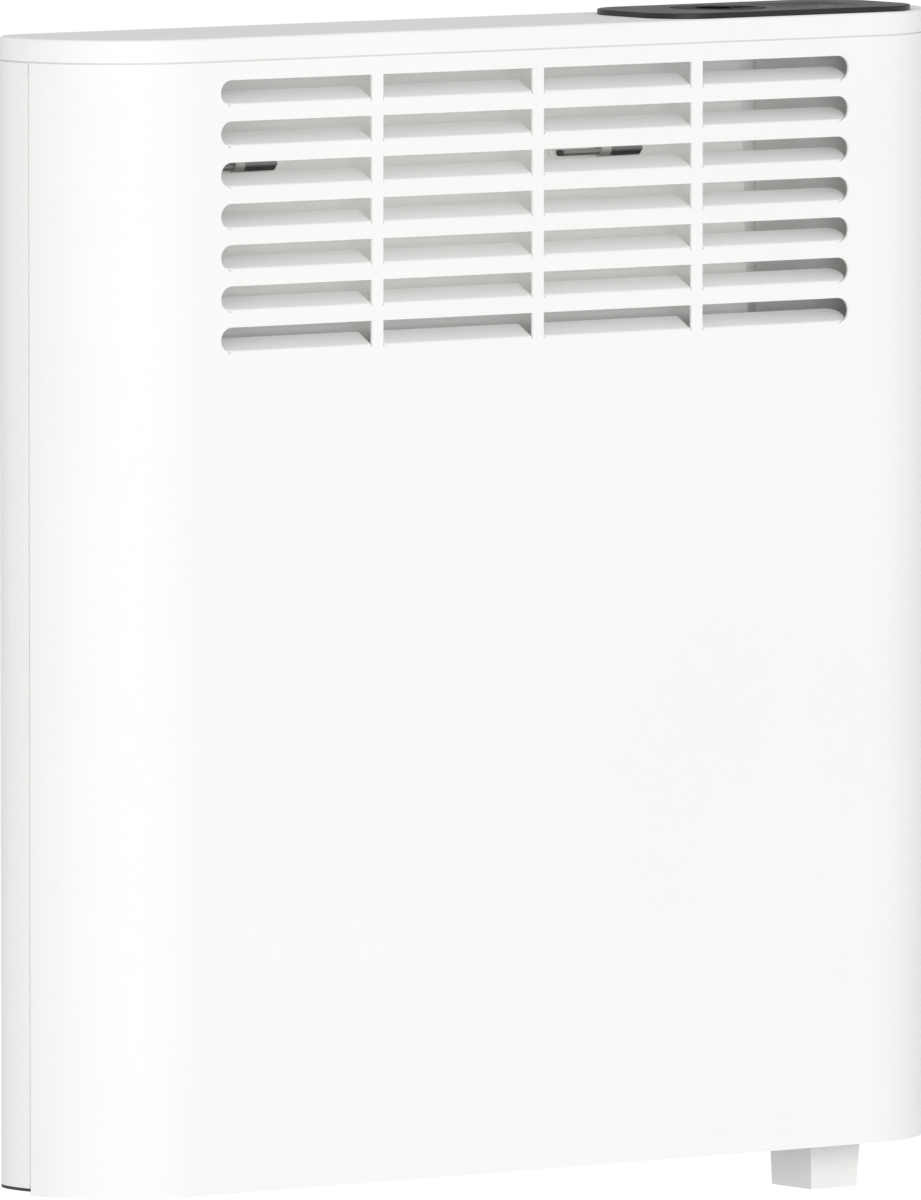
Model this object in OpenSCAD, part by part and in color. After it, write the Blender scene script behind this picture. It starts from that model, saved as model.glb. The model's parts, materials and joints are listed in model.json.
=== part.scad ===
// Wall-hung electric convector heater: a flat, rounded sheet-steel casing with
// 28 pressed outlet louvres, a cap with a black control panel, a room-air
// sensor pod under the right-hand end and a hook-on wall bracket.
// Millimetres. +Z up, the front faces -Y. The origin is the middle of the four
// wall-screw holes, on the wall plane. Inside the modules Y runs back from the
// front plane of the casing and Z up from its bottom edge.

/* [Casing] */
// Width of the casing
casing_w = 434; // [430:1:460]
// Height of the casing with its cap, without panel and pod
casing_h = 450; // [446:1:480]
// Depth of the casing from the front plane to the back sheet
casing_d = 72; // [72:0.5:74]
// Radius of the two upright front corners, seen from above
front_r = 50.6; // [49:0.1:51]
// Radius of the two upright rear corners
rear_r = 20; // [18:0.5:20]
// Thickness of the steel sheet
sheet = 1; // [0.9:0.05:1.1]
// Depth at which the front casing meets the rear chassis
seam_y = 40.6; // [38:0.1:42]
// Width of the upright seam between them
seam_gap = 0.9; // [0.6:0.1:1.2]
// Height of the cap
cap_h = 8.85; // [8.4:0.05:9]
// Height of the shadow groove under the cap
groove_h = 0.6; // [0.5:0.1:1.3]
// Radius of the cap's top edge
cap_edge_r = 1.3; // [1:0.1:1.6]

/* [Outlet louvres] */
// Number of louvre rows
rows = 7; // [5:1:7]
// Distance from row to row
row_pitch = 16; // [15:0.5:16]
// Distance from the cap's top face to the top edge of the first row
first_row = 16.5; // [16:0.5:18]
// Visible height of one slot
slot_h = 9.4; // [8.6:0.1:9.6]
// Distance from column to column
col_pitch = 78; // [76:0.5:78]
// Width of the upright bars between the columns
bar_w = 5.5; // [5:0.1:7]
// Half the width of the whole louvre field
field_hw = 153.2; // [150:0.1:153.2]
// Angle of the pressed flaps above the horizontal
flap_angle = 27; // [22:1:32]
// Length of a flap beyond its bend
flap_len = 9.4; // [8.6:0.1:9.6]

/* [Control panel] */
// Left edge of the panel
panel_x0 = 67.5; // [66:0.5:68]
// Right edge of the panel
panel_x1 = 196; // [194:0.5:196]
// Front edge of the panel
panel_y0 = 2.4; // [2:0.1:3]
// Rear edge of the panel
panel_y1 = 65; // [64:0.1:66]
// Corner radius of the panel
panel_r = 20; // [18:0.5:20]
// Thickness of the panel above the cap
panel_t = 2.2; // [2:0.1:2.4]
// Diameter of the flush temperature dial
dial_d = 37.6; // [36:0.1:38]
// Depth of the dial's central well
dial_well = 1.1; // [0.8:0.1:1.4]
// Diameter of the two push buttons
button_d = 8.6; // [8:0.1:8.8]
// Travel of the push buttons
button_travel = 1; // [0.6:0.1:1]

/* [Sensor pod] */
// Depth of the pod below the casing's bottom edge
pod_drop = 20.2; // [16:0.1:22]
// Width of the pod at its top
pod_w = 25; // [22:0.5:25]
// Depth of the pod at its top, front to back
pod_d = 27; // [24:0.5:27]

/* [Wall bracket] */
// Distance from the front plane of the casing to the wall
wall_y = 100; // [100:1:110]
// Spacing of the wall screws across
screw_dx = 180; // [160:2:184]
// Spacing of the wall screws up and down
screw_dz = 320; // [310:2:320]
// Diameter of the wall screw holes
screw_hole_d = 7; // [5:0.5:8]
// Thickness of the bracket steel
bracket_t = 1.5; // [1.5:0.1:2]

/* [Hidden] */
$fn = 72;

// half width, top of the sheet casing, bottom of the cap
wh = casing_w / 2;
cap_z = casing_h - cap_h;
body_z = cap_z - groove_h;
// upright seam faces
fy = seam_y - seam_gap / 2;
ry = seam_y + seam_gap / 2;
// bottom edge of the rear chassis and of the inlet grille under it
chassis_z = 2.8;
grille_z = 1.6;
// height of the mount's centre above the casing's bottom edge
mount_z = 225;
// louvre bend: outer and inner radius and the height of its centre below the
// visible slot edge
bend_ro = sheet + 0.15;
bend_ri = 0.15;
bend_drop = 0.55;
cut_h = slot_h + bend_drop;
flange_w = 11;
// control panel layout
dial_x = panel_x0 + 46.5;
dial_y = (panel_y0 + panel_y1) / 2;
panel_z = casing_h;
panel_top = casing_h + panel_t;
disp_x = panel_x0 + 89.5;
disp_y = 38;
disp_w = 38;
disp_h = 22;
button_y = 19.5;
button_dx = 10;
// control housing under the cap
hz0 = casing_h - 15.4;
hx0 = 74;
hx1 = 189;
hy0 = 12;
hy1 = 60;
post_xy = [[80, 20], [182.6, 20], [80, 50], [182.6, 50]];
board_z = hz0 + 3.2;
board_top = board_z + 1.6;
cap_under = casing_h - 1.2;
// inner air channel
shield_y = 12;
shield_t = 0.8;
back_y = 60;
part_x = 115;
// the upper part of the partition stands further right and is rolled forward
part_u = 137.2;
roll_r = 21;
roll_y = 47.2;
step_z = 324;
end_x = -192;
deck_z = cap_z - 7.15;
core_y = 37;
core_z = 81;
lim_y = 19;
lim_z = casing_h - 51;
// wall bracket
up_x = 110;
latch_x = 118;
latch_z = casing_h - 50;
front_flange_y = casing_d + 3;
hook_z = 78;

// ---------- helpers ----------
module at_wall() { translate([0, -wall_y, -mount_z]) children(); }
module ext_x(x0, x1) { translate([x0, 0, 0]) rotate([90, 0, 90]) linear_extrude(height = x1 - x0) children(); }
module ext_y(y0, y1) { translate([0, y1, 0]) rotate([90, 0, 0]) linear_extrude(height = y1 - y0) children(); }
module ext_z(z0, z1) { translate([0, 0, z0]) linear_extrude(height = z1 - z0) children(); }
module box(a, b) { translate(a) cube([b[0] - a[0], b[1] - a[1], b[2] - a[2]]); }
module rod_x(x0, x1, y, z, d) { translate([x0, y, z]) rotate([0, 90, 0]) cylinder(h = x1 - x0, d = d); }
module rod_y(y0, y1, x, z, d) { translate([x, y1, z]) rotate([90, 0, 0]) cylinder(h = y1 - y0, d = d); }
module rod_z(z0, z1, x, y, d) { translate([x, y, z0]) cylinder(h = z1 - z0, d = d); }
module both_sides() { children(); mirror([1, 0, 0]) children(); }

// casing outline seen from above, moved inwards by i
module plan(i = 0) {
  translate([-(wh - front_r), i]) square([2 * (wh - front_r), casing_d - 2 * i]);
  for (s = [0, 1]) mirror([s, 0]) {
    intersection() {
      translate([wh - front_r, front_r]) circle(r = front_r - i);
      translate([wh - front_r, 0]) square([front_r, front_r]);
    }
    translate([wh - front_r, front_r]) square([front_r - i, casing_d - rear_r - front_r]);
    translate([wh - front_r, front_r]) square([front_r - rear_r, casing_d - i - front_r]);
    intersection() {
      translate([wh - rear_r, casing_d - rear_r]) circle(r = rear_r - i);
      translate([wh - rear_r, casing_d - rear_r]) square([rear_r, rear_r]);
    }
  }
}
module ring2(i0, i1) { difference() { plan(i0); plan(i1); } }
module band2(y0, y1) { intersection() { children(); translate([-wh - 10, y0]) square([2 * wh + 20, y1 - y0]); } }

// upright strip with one rounded top edge, and with two
module prof(w, h, r) {
  square([w, h - r]);
  square([w - r, h]);
  translate([w - r, h - r]) circle(r = r, $fn = 32);
}
module prof2(w, h, r) {
  square([w, h - r]);
  translate([r, 0]) square([w - 2 * r, h]);
  for (x = [r, w - r]) translate([x, h - r]) circle(r = r, $fn = 32);
}
// plate with round corners rc and a rounded top edge r
module round_plate(x0, x1, y0, y1, z0, h, rc, r) {
  translate([0, 0, z0]) {
    ext_x(x0 + rc, x1 - rc) translate([y0, 0]) prof2(y1 - y0, h, r);
    for (s = [0, 1]) translate([s ? x1 - rc : x0 + rc, 0, 0]) mirror([1 - s, 0, 0]) {
      translate([0, y1 - rc, 0]) rotate([90, 0, 0]) linear_extrude(height = y1 - y0 - 2 * rc) prof(rc, h, r);
      translate([0, y1 - rc, 0]) rotate_extrude(angle = 90) prof(rc, h, r);
      translate([0, y0 + rc, 0]) rotate([0, 0, -90]) rotate_extrude(angle = 90) prof(rc, h, r);
    }
  }
}
// countersunk-free pan head screw along +Z, head below z0, shank up to z1
module screw_up(x, y, z0, z1, d = 2.9, hd = 6, hh = 1.8) {
  rod_z(z0, z1, x, y, d);
  difference() {
    rod_z(z0 - hh, z0, x, y, hd);
    translate([x, y, z0 - hh - 0.1]) for (a = [0, 90]) rotate([0, 0, a]) translate([-hd * 0.3, -0.4, 0]) cube([hd * 0.6, 0.8, 1]);
  }
}
// screw along +Y, head in front of y0
module screw_back(x, z, y0, y1, d = 3.9, hd = 7, hh = 2) {
  rod_y(y0, y1, x, z, d);
  difference() {
    rod_y(y0 - hh, y0, x, z, hd);
    translate([x, y0 - hh - 0.1, z]) for (a = [0, 90]) rotate([0, a, 0]) translate([-hd * 0.3, 0, -0.4]) cube([hd * 0.6, 1.1, 0.8]);
  }
}
function unit(v) = v / norm(v);
// round wire through a list of points, with bends of radius r
module wire(pts, d, r = 5) {
  n = len(pts);
  // direction of every leg, then the length each bend takes off its two legs
  u = [for (k = [0 : n - 2]) unit(pts[k + 1] - pts[k])];
  h = [for (k = [0 : n - 1]) k == 0 || k == n - 1 ? 0 : r * tan(acos(u[k - 1] * u[k]) / 2)];
  for (k = [0 : n - 2])
    translate(pts[k] + u[k] * h[k]) rotate([0, acos(u[k][2]), atan2(u[k][1], u[k][0])])
      cylinder(h = norm(pts[k + 1] - pts[k]) - h[k] - h[k + 1], d = d, $fn = 24);
  if (n > 2) for (k = [1 : n - 2]) {
    w = unit(cross(u[k - 1], u[k]));
    m = cross(w, u[k - 1]);
    c = pts[k] - u[k - 1] * h[k] + m * r;
    v = u[k - 1];
    multmatrix([[-m[0], v[0], w[0], c[0]], [-m[1], v[1], w[1], c[1]], [-m[2], v[2], w[2], c[2]], [0, 0, 0, 1]])
      rotate_extrude(angle = acos(u[k - 1] * u[k]), $fn = 48) translate([r, 0]) circle(d = d, $fn = 24);
  }
}

// ---------- louvres ----------
function row_top(r) = casing_h - first_row - r * row_pitch;
function row_cut(r) = row_top(r) - cut_h;
// left and right edge of a cell
function cell_x0(c) = c == 0 ? -field_hw : (c - 2) * col_pitch + bar_w / 2;
function cell_x1(c) = c == 3 ? field_hw : (c - 1) * col_pitch - bar_w / 2;
// slot outline in X and Z, rounded at the outer ends of the field, with small
// relief notches at both ends of the bend
module slot2(r, c) {
  pr = cut_h / 2;
  x0 = c == 0 ? cell_x0(c) + pr : cell_x0(c);
  x1 = c == 3 ? cell_x1(c) - pr : cell_x1(c);
  translate([x0, row_cut(r)]) square([x1 - x0, cut_h]);
  if (c == 0) translate([x0, row_cut(r) + pr]) circle(r = pr);
  if (c == 3) translate([x1, row_cut(r) + pr]) circle(r = pr);
  for (p = [[flap_x0(c) - 0.45, c == 0 ? x0 + 0.1 : flap_x0(c) + 0.35], [c == 3 ? x1 - 0.1 : flap_x1(c) - 0.35, flap_x1(c) + 0.45]])
    translate([p[0], row_cut(r) - 0.15]) square([p[1] - p[0], 0.55]);
}
function flap_x0(c) = c == 0 ? cell_x0(c) + 4.2 : cell_x0(c) + 0.35;
function flap_x1(c) = c == 3 ? cell_x1(c) - 4.2 : cell_x1(c) - 0.35;
module flap(r, c) {
  pr = flap_len / 2;
  a = flap_x0(c);
  b = flap_x1(c);
  // bend, with a root inside the sheet
  ext_x(a, b) translate([bend_ro, row_cut(r)]) {
    intersection() {
      difference() { circle(r = bend_ro, $fn = 48); circle(r = bend_ri, $fn = 48); }
      polygon([[0, 0], [-4, 0], [-4, 4 / tan(flap_angle) * 0.9], [-4 * sin(flap_angle), 4 * cos(flap_angle)]]);
    }
  }
  ext_x(a + 1.2, b - 1.2) translate([0.1, row_cut(r) - 0.3]) square([sheet - 0.2, 0.4]);
  // flat of the flap, with the slot's own round end on the outer cells
  translate([0, bend_ro, row_cut(r)]) rotate([flap_angle, 0, 0]) translate([0, 0, bend_ri + 0.04])
    linear_extrude(height = sheet - 0.08) {
      translate([a, -0.15]) square([b - a, flap_len + 0.15]);
      if (c == 0) translate([a, pr]) circle(r = pr);
      if (c == 3) translate([b, pr]) circle(r = pr);
    }
}

// ---------- shells ----------
screw_x = [-150, -50, 50, 140];
module front_casing() color("white") at_wall() {
  difference() {
    ext_z(0, body_z) band2(-1, fy) plan(0);
    ext_z(sheet, body_z - sheet) band2(-1, fy + 1) plan(sheet);
    ext_z(-1, body_z + 1) band2(-1, fy + 1) plan(flange_w);
    for (r = [0 : rows - 1], c = [0 : 3]) ext_y(-1, sheet + 0.5) slot2(r, c);
    for (x = screw_x) {
      translate([x, 6.2, -0.1]) cylinder(h = sheet + 0.2, d1 = 6.2, d2 = 3.4);
      rod_z(body_z - 3, body_z + 1, x, 6.2, 3.4);
    }
  }
  for (r = [0 : rows - 1], c = [0 : 3]) flap(r, c);
}

module rear_chassis() color("white") at_wall() {
  difference() {
    union() {
      difference() {
        ext_z(chassis_z, body_z) band2(ry, casing_d + 1) plan(0);
        ext_z(chassis_z + sheet, body_z - sheet) band2(ry - 1, casing_d + 1) plan(sheet);
        ext_z(0, body_z + 1) band2(ry - 1, casing_d + 1) plan(flange_w);
      }
      // joggled lip that runs behind the front casing and closes the seam
      ext_z(5, body_z - 4) {
        band2(34, ry + 5) ring2(sheet + 0.25, sheet + 1.25);
        band2(ry, ry + 5) ring2(sheet / 2, sheet + 1.25);
      }
    }
    // holes for the cap's pins and the lower screws
    for (x = screw_x) {
      rod_z(body_z - 3, body_z + 1, x, casing_d - 6, 3.4);
      rod_z(0, 6, x, casing_d - 6, 3.4);
    }
    for (s = [-1, 1]) {
      // latch slots and hook slots
      ext_y(casing_d - 2, casing_d + 1) translate([s * latch_x - 4, latch_z - 11]) square([8, 22]);
      ext_y(casing_d - 2, casing_d + 1) translate([s * up_x - 1.75, hook_z - 26]) square([3.5, 26]);
    }
    // shield, board, terminal and earth screws, and the cable inlet
    for (p = shield_pts) rod_y(casing_d - 3, casing_d + 1, p[0], p[1], 4);
    for (p = board_pts) rod_y(casing_d - 3, casing_d + 1, p[0], p[1], 3);
    for (p = block_pts) rod_y(casing_d - 3, casing_d + 1, p[0], p[1], 3);
    rod_y(casing_d - 3, casing_d + 1, earth_pt[0], earth_pt[1], 4);
    rod_y(casing_d - 3, casing_d + 1, inlet_pt[0], inlet_pt[1], 15);
  }
}

module top_cap() color("white") at_wall() {
  h = cap_h;
  difference() {
    union() {
      difference() {
        translate([0, 0, cap_z]) {
          ext_x(-(wh - front_r), wh - front_r) prof2(casing_d, h, cap_edge_r);
          both_sides() {
            translate([wh - front_r, front_r, 0]) rotate([0, 0, -90]) rotate_extrude(angle = 90) prof(front_r, h, cap_edge_r);
            ext_x(wh - front_r, wh - rear_r) translate([front_r, 0]) prof(casing_d - front_r, h, cap_edge_r);
            translate([wh - rear_r, casing_d - rear_r, 0]) rotate_extrude(angle = 90) prof(rear_r, h, cap_edge_r);
            translate([wh - rear_r, casing_d - rear_r, 0]) rotate([90, 0, 0]) linear_extrude(height = casing_d - rear_r - front_r) prof(rear_r, h, cap_edge_r);
          }
        }
        ext_z(cap_z - 1, cap_under) plan(1.4);
      }
      // lip that closes the shadow groove
      ext_z(body_z, cap_z + 1) ring2(1.2, 2.8);
      for (x = screw_x) {
        rod_z(body_z, cap_under + 0.3, x, 6.2, 8);
        rod_z(body_z, cap_under + 0.3, x, casing_d - 6, 6.4);
        rod_z(body_z - 3.6, body_z, x, casing_d - 6, 3);
      }
    }
    for (x = screw_x) rod_z(body_z - 1, cap_under - 1.2, x, 6.2, 3);
    // openings under the control panel
    rod_z(cap_under - 2, casing_h + 1, dial_x, dial_y, dial_d + 2.4);
    for (s = [-1, 1]) rod_z(cap_under - 2, casing_h + 1, disp_x + s * button_dx, button_y, 12);
    rod_z(cap_under - 2, casing_h + 1, disp_x, button_y, 3.4);
    box([disp_x - disp_w / 2 - 1.8, disp_y - disp_h / 2 - 2, cap_under - 2], [disp_x + disp_w / 2 + 1.8, disp_y + disp_h / 2 + 2, casing_h + 1]);
    for (p = post_xy) rod_z(cap_under - 2, casing_h + 1, p[0], p[1], 6.4);
  }
}

module inlet_grille() color([0.2, 0.2, 0.21]) at_wall() {
  difference() {
    union() {
      ext_z(grille_z, chassis_z) { band2(-1, ry) plan(sheet + 0.4); band2(ry, casing_d + 1) plan(0); }
      for (x = screw_x) {
        rod_z(sheet, 9, x, 6.2, 8);
        rod_z(grille_z, chassis_z, x, casing_d - 6, 8);
      }
    }
    for (x = screw_x) {
      rod_z(-1, 10, x, 6.2, 3);
      rod_z(-1, 10, x, casing_d - 6, 3);
    }
    // air intake slots
    for (k = [0 : 5], m = [0 : 5]) {
      x0 = -186 + k * 50.4;
      y = 17.5 + m * 7.4;
      ext_z(grille_z - 1, chassis_z + 1) {
        translate([x0 + 2.2, y - 2.2]) square([37.6, 4.4]);
        for (x = [x0 + 2.2, x0 + 39.8]) translate([x, y]) circle(d = 4.4, $fn = 32);
      }
    }
    // pod opening and its two screw holes
    box([pod_x - 7, 34, 0], [pod_x + 7, 46, 5]);
    for (s = [-1, 1]) rod_z(0, 5, pod_x + s * 9, 32, 2.6);
  }
}

// ---------- control panel ----------
module control_panel() color([0.12, 0.13, 0.13]) at_wall() {
  difference() {
    union() {
      round_plate(panel_x0, panel_x1, panel_y0, panel_y1, panel_z, panel_t, panel_r, 0.5);
      for (p = post_xy) rod_z(panel_z - 4, panel_z + 0.4, p[0], p[1], 6);
    }
    rod_z(panel_z - 1, panel_top + 1, dial_x, dial_y, dial_d + 0.8);
    for (s = [-1, 1]) rod_z(panel_z - 1, panel_top + 1, disp_x + s * button_dx, button_y, button_d + 0.8);
    rod_z(panel_z - 1, panel_top + 1, disp_x, button_y, 3);
    box([disp_x - disp_w / 2, disp_y - disp_h / 2, panel_z - 1], [disp_x + disp_w / 2, disp_y + disp_h / 2, panel_top + 1]);
    for (p = post_xy) rod_z(panel_z - 5, panel_z + 0.9, p[0], p[1], 3);
  }
}

module temperature_dial() color([0.05, 0.05, 0.05]) at_wall() translate([dial_x, dial_y, 0]) {
  r = dial_d / 2;
  difference() {
    union() {
      translate([0, 0, panel_z - 3.2]) rotate_extrude() {
        square([r, panel_t + 2.8]);
        square([r - 0.4, panel_t + 3.2]);
        translate([r - 0.4, panel_t + 2.8]) circle(r = 0.4, $fn = 24);
      }
      translate([0, 0, panel_z - 3.8]) cylinder(h = 1, d = 11);
    }
    // central well with a straight wall
    translate([0, 0, panel_top - dial_well]) cylinder(h = 5, r = 9.5);
    // shaft bore, and a round finger dimple beside the well
    translate([0, 0, panel_z - 5]) cylinder(h = 4.6, d = 6);
    translate([12, 0, panel_top + 14.9]) sphere(r = 16.1, $fn = 96);
  }
}

module dial_shaft() color("silver") at_wall() translate([dial_x, dial_y, 0]) {
  translate([0, 0, board_top + 1]) cylinder(h = panel_z - 0.4 - board_top - 1, d = 6);
}

module dial_encoder() color("gainsboro") at_wall() translate([dial_x, dial_y, 0]) {
  difference() {
    union() {
      translate([-7, -7, board_top]) cube([14, 14, 4.4]);
      translate([0, 0, board_top + 4.4]) cylinder(h = 1.4, d = 9);
    }
    translate([0, 0, board_top + 0.8]) cylinder(h = 8, d = 6.1);
  }
}

module push_button() {
  translate([0, 0, panel_z - 0.7]) rotate_extrude() {
    square([button_d / 2, panel_t + 0.3]);
    square([button_d / 2 - 0.4, panel_t + 0.7]);
    translate([button_d / 2 - 0.4, panel_t + 0.3]) circle(r = 0.4, $fn = 24);
  }
  translate([0, 0, panel_z - 2]) cylinder(h = 1.3, d = 10.8);
  translate([0, 0, board_top + 5.6]) cylinder(h = panel_z - 2 - board_top - 5.6, d = 3.6);
}
module power_button() color([0.16, 0.16, 0.17]) at_wall() translate([disp_x - button_dx, button_y, 0]) push_button();
module mode_button() color([0.16, 0.16, 0.17]) at_wall() translate([disp_x + button_dx, button_y, 0]) push_button();

module button_switches() color([0.15, 0.15, 0.15]) at_wall() for (s = [-1, 1]) translate([disp_x + s * button_dx, button_y, board_top]) {
  translate([-3, -3, 0]) cube([6, 6, 3.5]);
  translate([0, 0, 3.5]) cylinder(h = 0.7, d = 3.4);
}

module display_lens() color([0.05, 0.07, 0.08]) at_wall()
  box([disp_x - disp_w / 2 + 0.1, disp_y - disp_h / 2 + 0.1, panel_z - 0.1], [disp_x + disp_w / 2 - 0.1, disp_y + disp_h / 2 - 0.1, panel_top]);

module display_module() color([0.55, 0.6, 0.55]) at_wall() {
  box([disp_x - disp_w / 2 - 1.5, disp_y - disp_h / 2 - 1, panel_z - 6], [disp_x + disp_w / 2 + 1.5, disp_y + disp_h / 2 + 1, panel_z - 0.1]);
  for (s = [-1, 1]) box([disp_x - 15, disp_y + s * 10 - 1, board_top], [disp_x + 15, disp_y + s * 10 + 1, panel_z - 6]);
}

module display_board() color([0.1, 0.35, 0.2]) at_wall() {
  difference() {
    intersection() {
      box([86, 14.5, board_z], [178, 57.5, board_top]);
      ext_z(board_z - 1, board_top + 1) plan(13.4);
    }
    for (p = [[89, 17], [175, 17], [89, 55], [175, 55]]) rod_z(board_z - 1, board_top + 1, p[0], p[1], 2.6);
    // notch for the lead
    box([141.5, 49, board_z - 1], [150.5, 60, board_top + 1]);
  }
  // small parts soldered to the board
  box([152, 52, board_top], [164, 56, board_top + 6]);
  box([98, 50, board_top], [106, 55, board_top + 2]);
  for (k = [0 : 3]) box([118 + k * 4, 52, board_top], [120 + k * 4, 55, board_top + 1]);
  rod_z(board_top, board_top + 1.6, disp_x, button_y, 2.4);
}

module indicator_lens() color([0.9, 0.3, 0.2]) at_wall() rod_z(board_top + 1.9, panel_top, disp_x, button_y, 2.8);

module control_housing() color([0.25, 0.25, 0.26]) at_wall() {
  difference() {
    union() {
      difference() {
        intersection() { box([hx0, hy0, hz0], [hx1, hy1, cap_under]); ext_z(hz0 - 1, casing_h) plan(11.4); }
        intersection() { box([hx0 + 1.6, hy0 + 1.6, hz0 + 1.6], [hx1 - 1.6, hy1 - 1.6, cap_under + 1]); ext_z(hz0, casing_h) plan(13); }
      }
      for (p = post_xy) rod_z(hz0, panel_z - 4.2, p[0], p[1], 8);
      for (p = [[89, 17], [175, 17], [89, 55], [175, 55]]) {
        rod_z(hz0 + 1, board_z, p[0], p[1], 5);
        rod_z(board_z, board_top + 0.8, p[0], p[1], 2.4);
      }
    }
    for (p = post_xy) {
      rod_z(hz0 - 1, hz0 + 2.2, p[0], p[1], 6.4);
      rod_z(hz0, panel_z, p[0], p[1], 3.2);
    }
    // lead outlet in the floor
    box([141, 50, hz0 - 1], [151, 57, hz0 + 3]);
  }
}

module panel_screws() color("silver") at_wall() for (p = post_xy) screw_up(p[0], p[1], hz0 + 2.2, panel_z + 0.5, 2.9, 5.6, 1.9);

// ---------- inner sheet metal ----------
shield_pts = [[-170, 40], [-40, 40], [90, 40], [-170, casing_h - 26], [-40, casing_h - 26], [96, casing_h - 26]];
board_pts = [[127, 155], [191, 155], [127, 265], [191, 265]];
block_pts = [[136, 64], [172, 64]];
earth_pt = [150, 108];
inlet_pt = [160, 32];
rivet_z = [45, 130, 215, 300];

module front_heat_shield() color("silver") at_wall() {
  difference() {
    union() {
      box([end_x, shield_y, 24], [127, shield_y + shield_t, 322]);
      // lower edge folded back towards the air intake
      ext_x(end_x + 12, part_x - 1) polygon([[shield_y, 24], [shield_y + shield_t, 24], [shield_y + 5, 17], [shield_y + 4.2, 17]]);
    }
    for (z = rivet_z) { rod_y(shield_y - 1, shield_y + 2, part_x + 6.4, z, 3.2); rod_y(shield_y - 1, shield_y + 2, end_x + 6.4, z, 3.2); }
  }
}

module rear_heat_shield() color("silver") at_wall() {
  difference() {
    union() {
      box([end_x - 4, back_y, 14], [part_x, back_y + shield_t, deck_z]);
      // top and bottom flanges that stiffen it
      box([end_x - 4, back_y, deck_z], [part_x, back_y + 9, deck_z + shield_t]);
      box([end_x - 4, back_y, 14 - shield_t], [part_x, back_y + 9, 14]);
    }
    for (p = shield_pts) rod_y(back_y - 1, back_y + 2, p[0], p[1], 4);
  }
}

module shield_spacers() color("gainsboro") at_wall() for (p = shield_pts) difference() {
  rod_y(back_y + shield_t, casing_d - sheet, p[0], p[1], 10);
  rod_y(back_y, casing_d, p[0], p[1], 4);
}
module shield_screws() color("silver") at_wall() for (p = shield_pts) screw_back(p[0], p[1], back_y, casing_d + 1.5);

// sheet that turns the warm air forward to the louvres
dfl = [[back_y - 0.4, 240], [back_y - 0.4, 252], [19.6, 316], [25.4, deck_z - 0.8]];
module air_deflector() color("white") at_wall() {
  n = len(dfl);
  h = shield_t / 2;
  // unit normals of the legs, then one mitred offset point a corner
  nn = [for (k = [0 : n - 2]) let (v = dfl[k + 1] - dfl[k]) [-v[1], v[0]] / norm(v)];
  m = [for (k = [0 : n - 1]) k == 0 ? nn[0] : k == n - 1 ? nn[n - 2] : (nn[k - 1] + nn[k]) / (1 + nn[k - 1] * nn[k])];
  difference() {
    ext_x(end_x + 1.2, part_x + 3.2) polygon(concat([for (k = [0 : n - 1]) dfl[k] + h * m[k]], [for (k = [n - 1 : -1 : 0]) dfl[k] - h * m[k]]));
    for (x = lim_legs) rod_y(20, 50, x, lim_z, 6);
    // the lower part ends at the lower part of the partition
    box([part_x - 0.4, 18, 230], [part_x + 12, 70, step_z + 2.6]);
  }
}

module partition_plate() color("white") at_wall() {
  difference() {
    union() {
      box([part_x, shield_y + shield_t, 6], [part_x + shield_t, back_y, step_z + shield_t]);
      box([part_x, shield_y + shield_t, 24], [part_x + 12, shield_y + 2 * shield_t, 322]);
      box([part_x, back_y - shield_t, 6], [part_x + 8, back_y, step_z + shield_t]);
      // step to the right
      ext_z(step_z, step_z + shield_t) {
        translate([part_x, roll_y - roll_r + 0.2]) square([part_u + shield_t - roll_r - part_x, back_y - roll_y + roll_r - 0.2]);
        intersection() {
          translate([part_u + shield_t - roll_r, roll_y]) circle(r = roll_r - 0.4);
          translate([part_u + shield_t - roll_r, roll_y - roll_r]) square([roll_r, roll_r]);
        }
        translate([part_u + shield_t - roll_r, roll_y]) square([roll_r, back_y - roll_y]);
      }
      // upper plane with its rear flange, the roll and its short front tab,
      // which lies behind the deflector
      box([part_u, roll_y, step_z], [part_u + shield_t, back_y, deck_z]);
      box([part_u, back_y - shield_t, step_z], [part_u + 8, back_y, deck_z]);
      // screen in front of the leads, nearer to the louvres at its outer end
      ext_z(step_z, deck_z) polygon([[part_u - 4.2, 34], [186, 20.4], [186, 20.4 + shield_t], [part_u - 3.8, 34 + shield_t]]);
      translate([part_u + shield_t - roll_r, roll_y, step_z]) rotate([0, 0, -90]) rotate_extrude(angle = 90)
        translate([roll_r - shield_t, 0]) square([shield_t, deck_z - step_z]);
      box([part_u + shield_t - roll_r - 4, roll_y - roll_r, step_z], [part_u + shield_t - roll_r, roll_y - roll_r + shield_t, deck_z]);
    }
    rod_x(part_x - 1, part_x + 2, core_y, core_z, 14);
    for (z = rivet_z) rod_y(shield_y, shield_y + 3, part_x + 6.4, z, 3.2);
    // cut-out with its two rivets, and the limiters' leads
    rod_x(part_x - 1, part_x + 2, cut_y, cut_z, 12);
    for (s = [-1, 1]) rod_x(part_x - 1, part_x + 2, cut_y + s * 11.5, cut_z, 3.2);
    rod_x(part_u - 1, part_u + 2, 53.3, lim_z, 10.4);
  }
}
module channel_end_plate() color("silver") at_wall() {
  difference() {
    union() {
      box([end_x, shield_y + shield_t, 6], [end_x + shield_t, back_y, deck_z]);
      box([end_x, shield_y + shield_t, 24], [end_x + 12, shield_y + 2 * shield_t, 322]);
    }
    rod_x(end_x - 1, end_x + 2, core_y, core_z, 14);
    for (z = rivet_z) rod_y(shield_y, shield_y + 3, end_x + 6.4, z, 3.2);
  }
}
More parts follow.
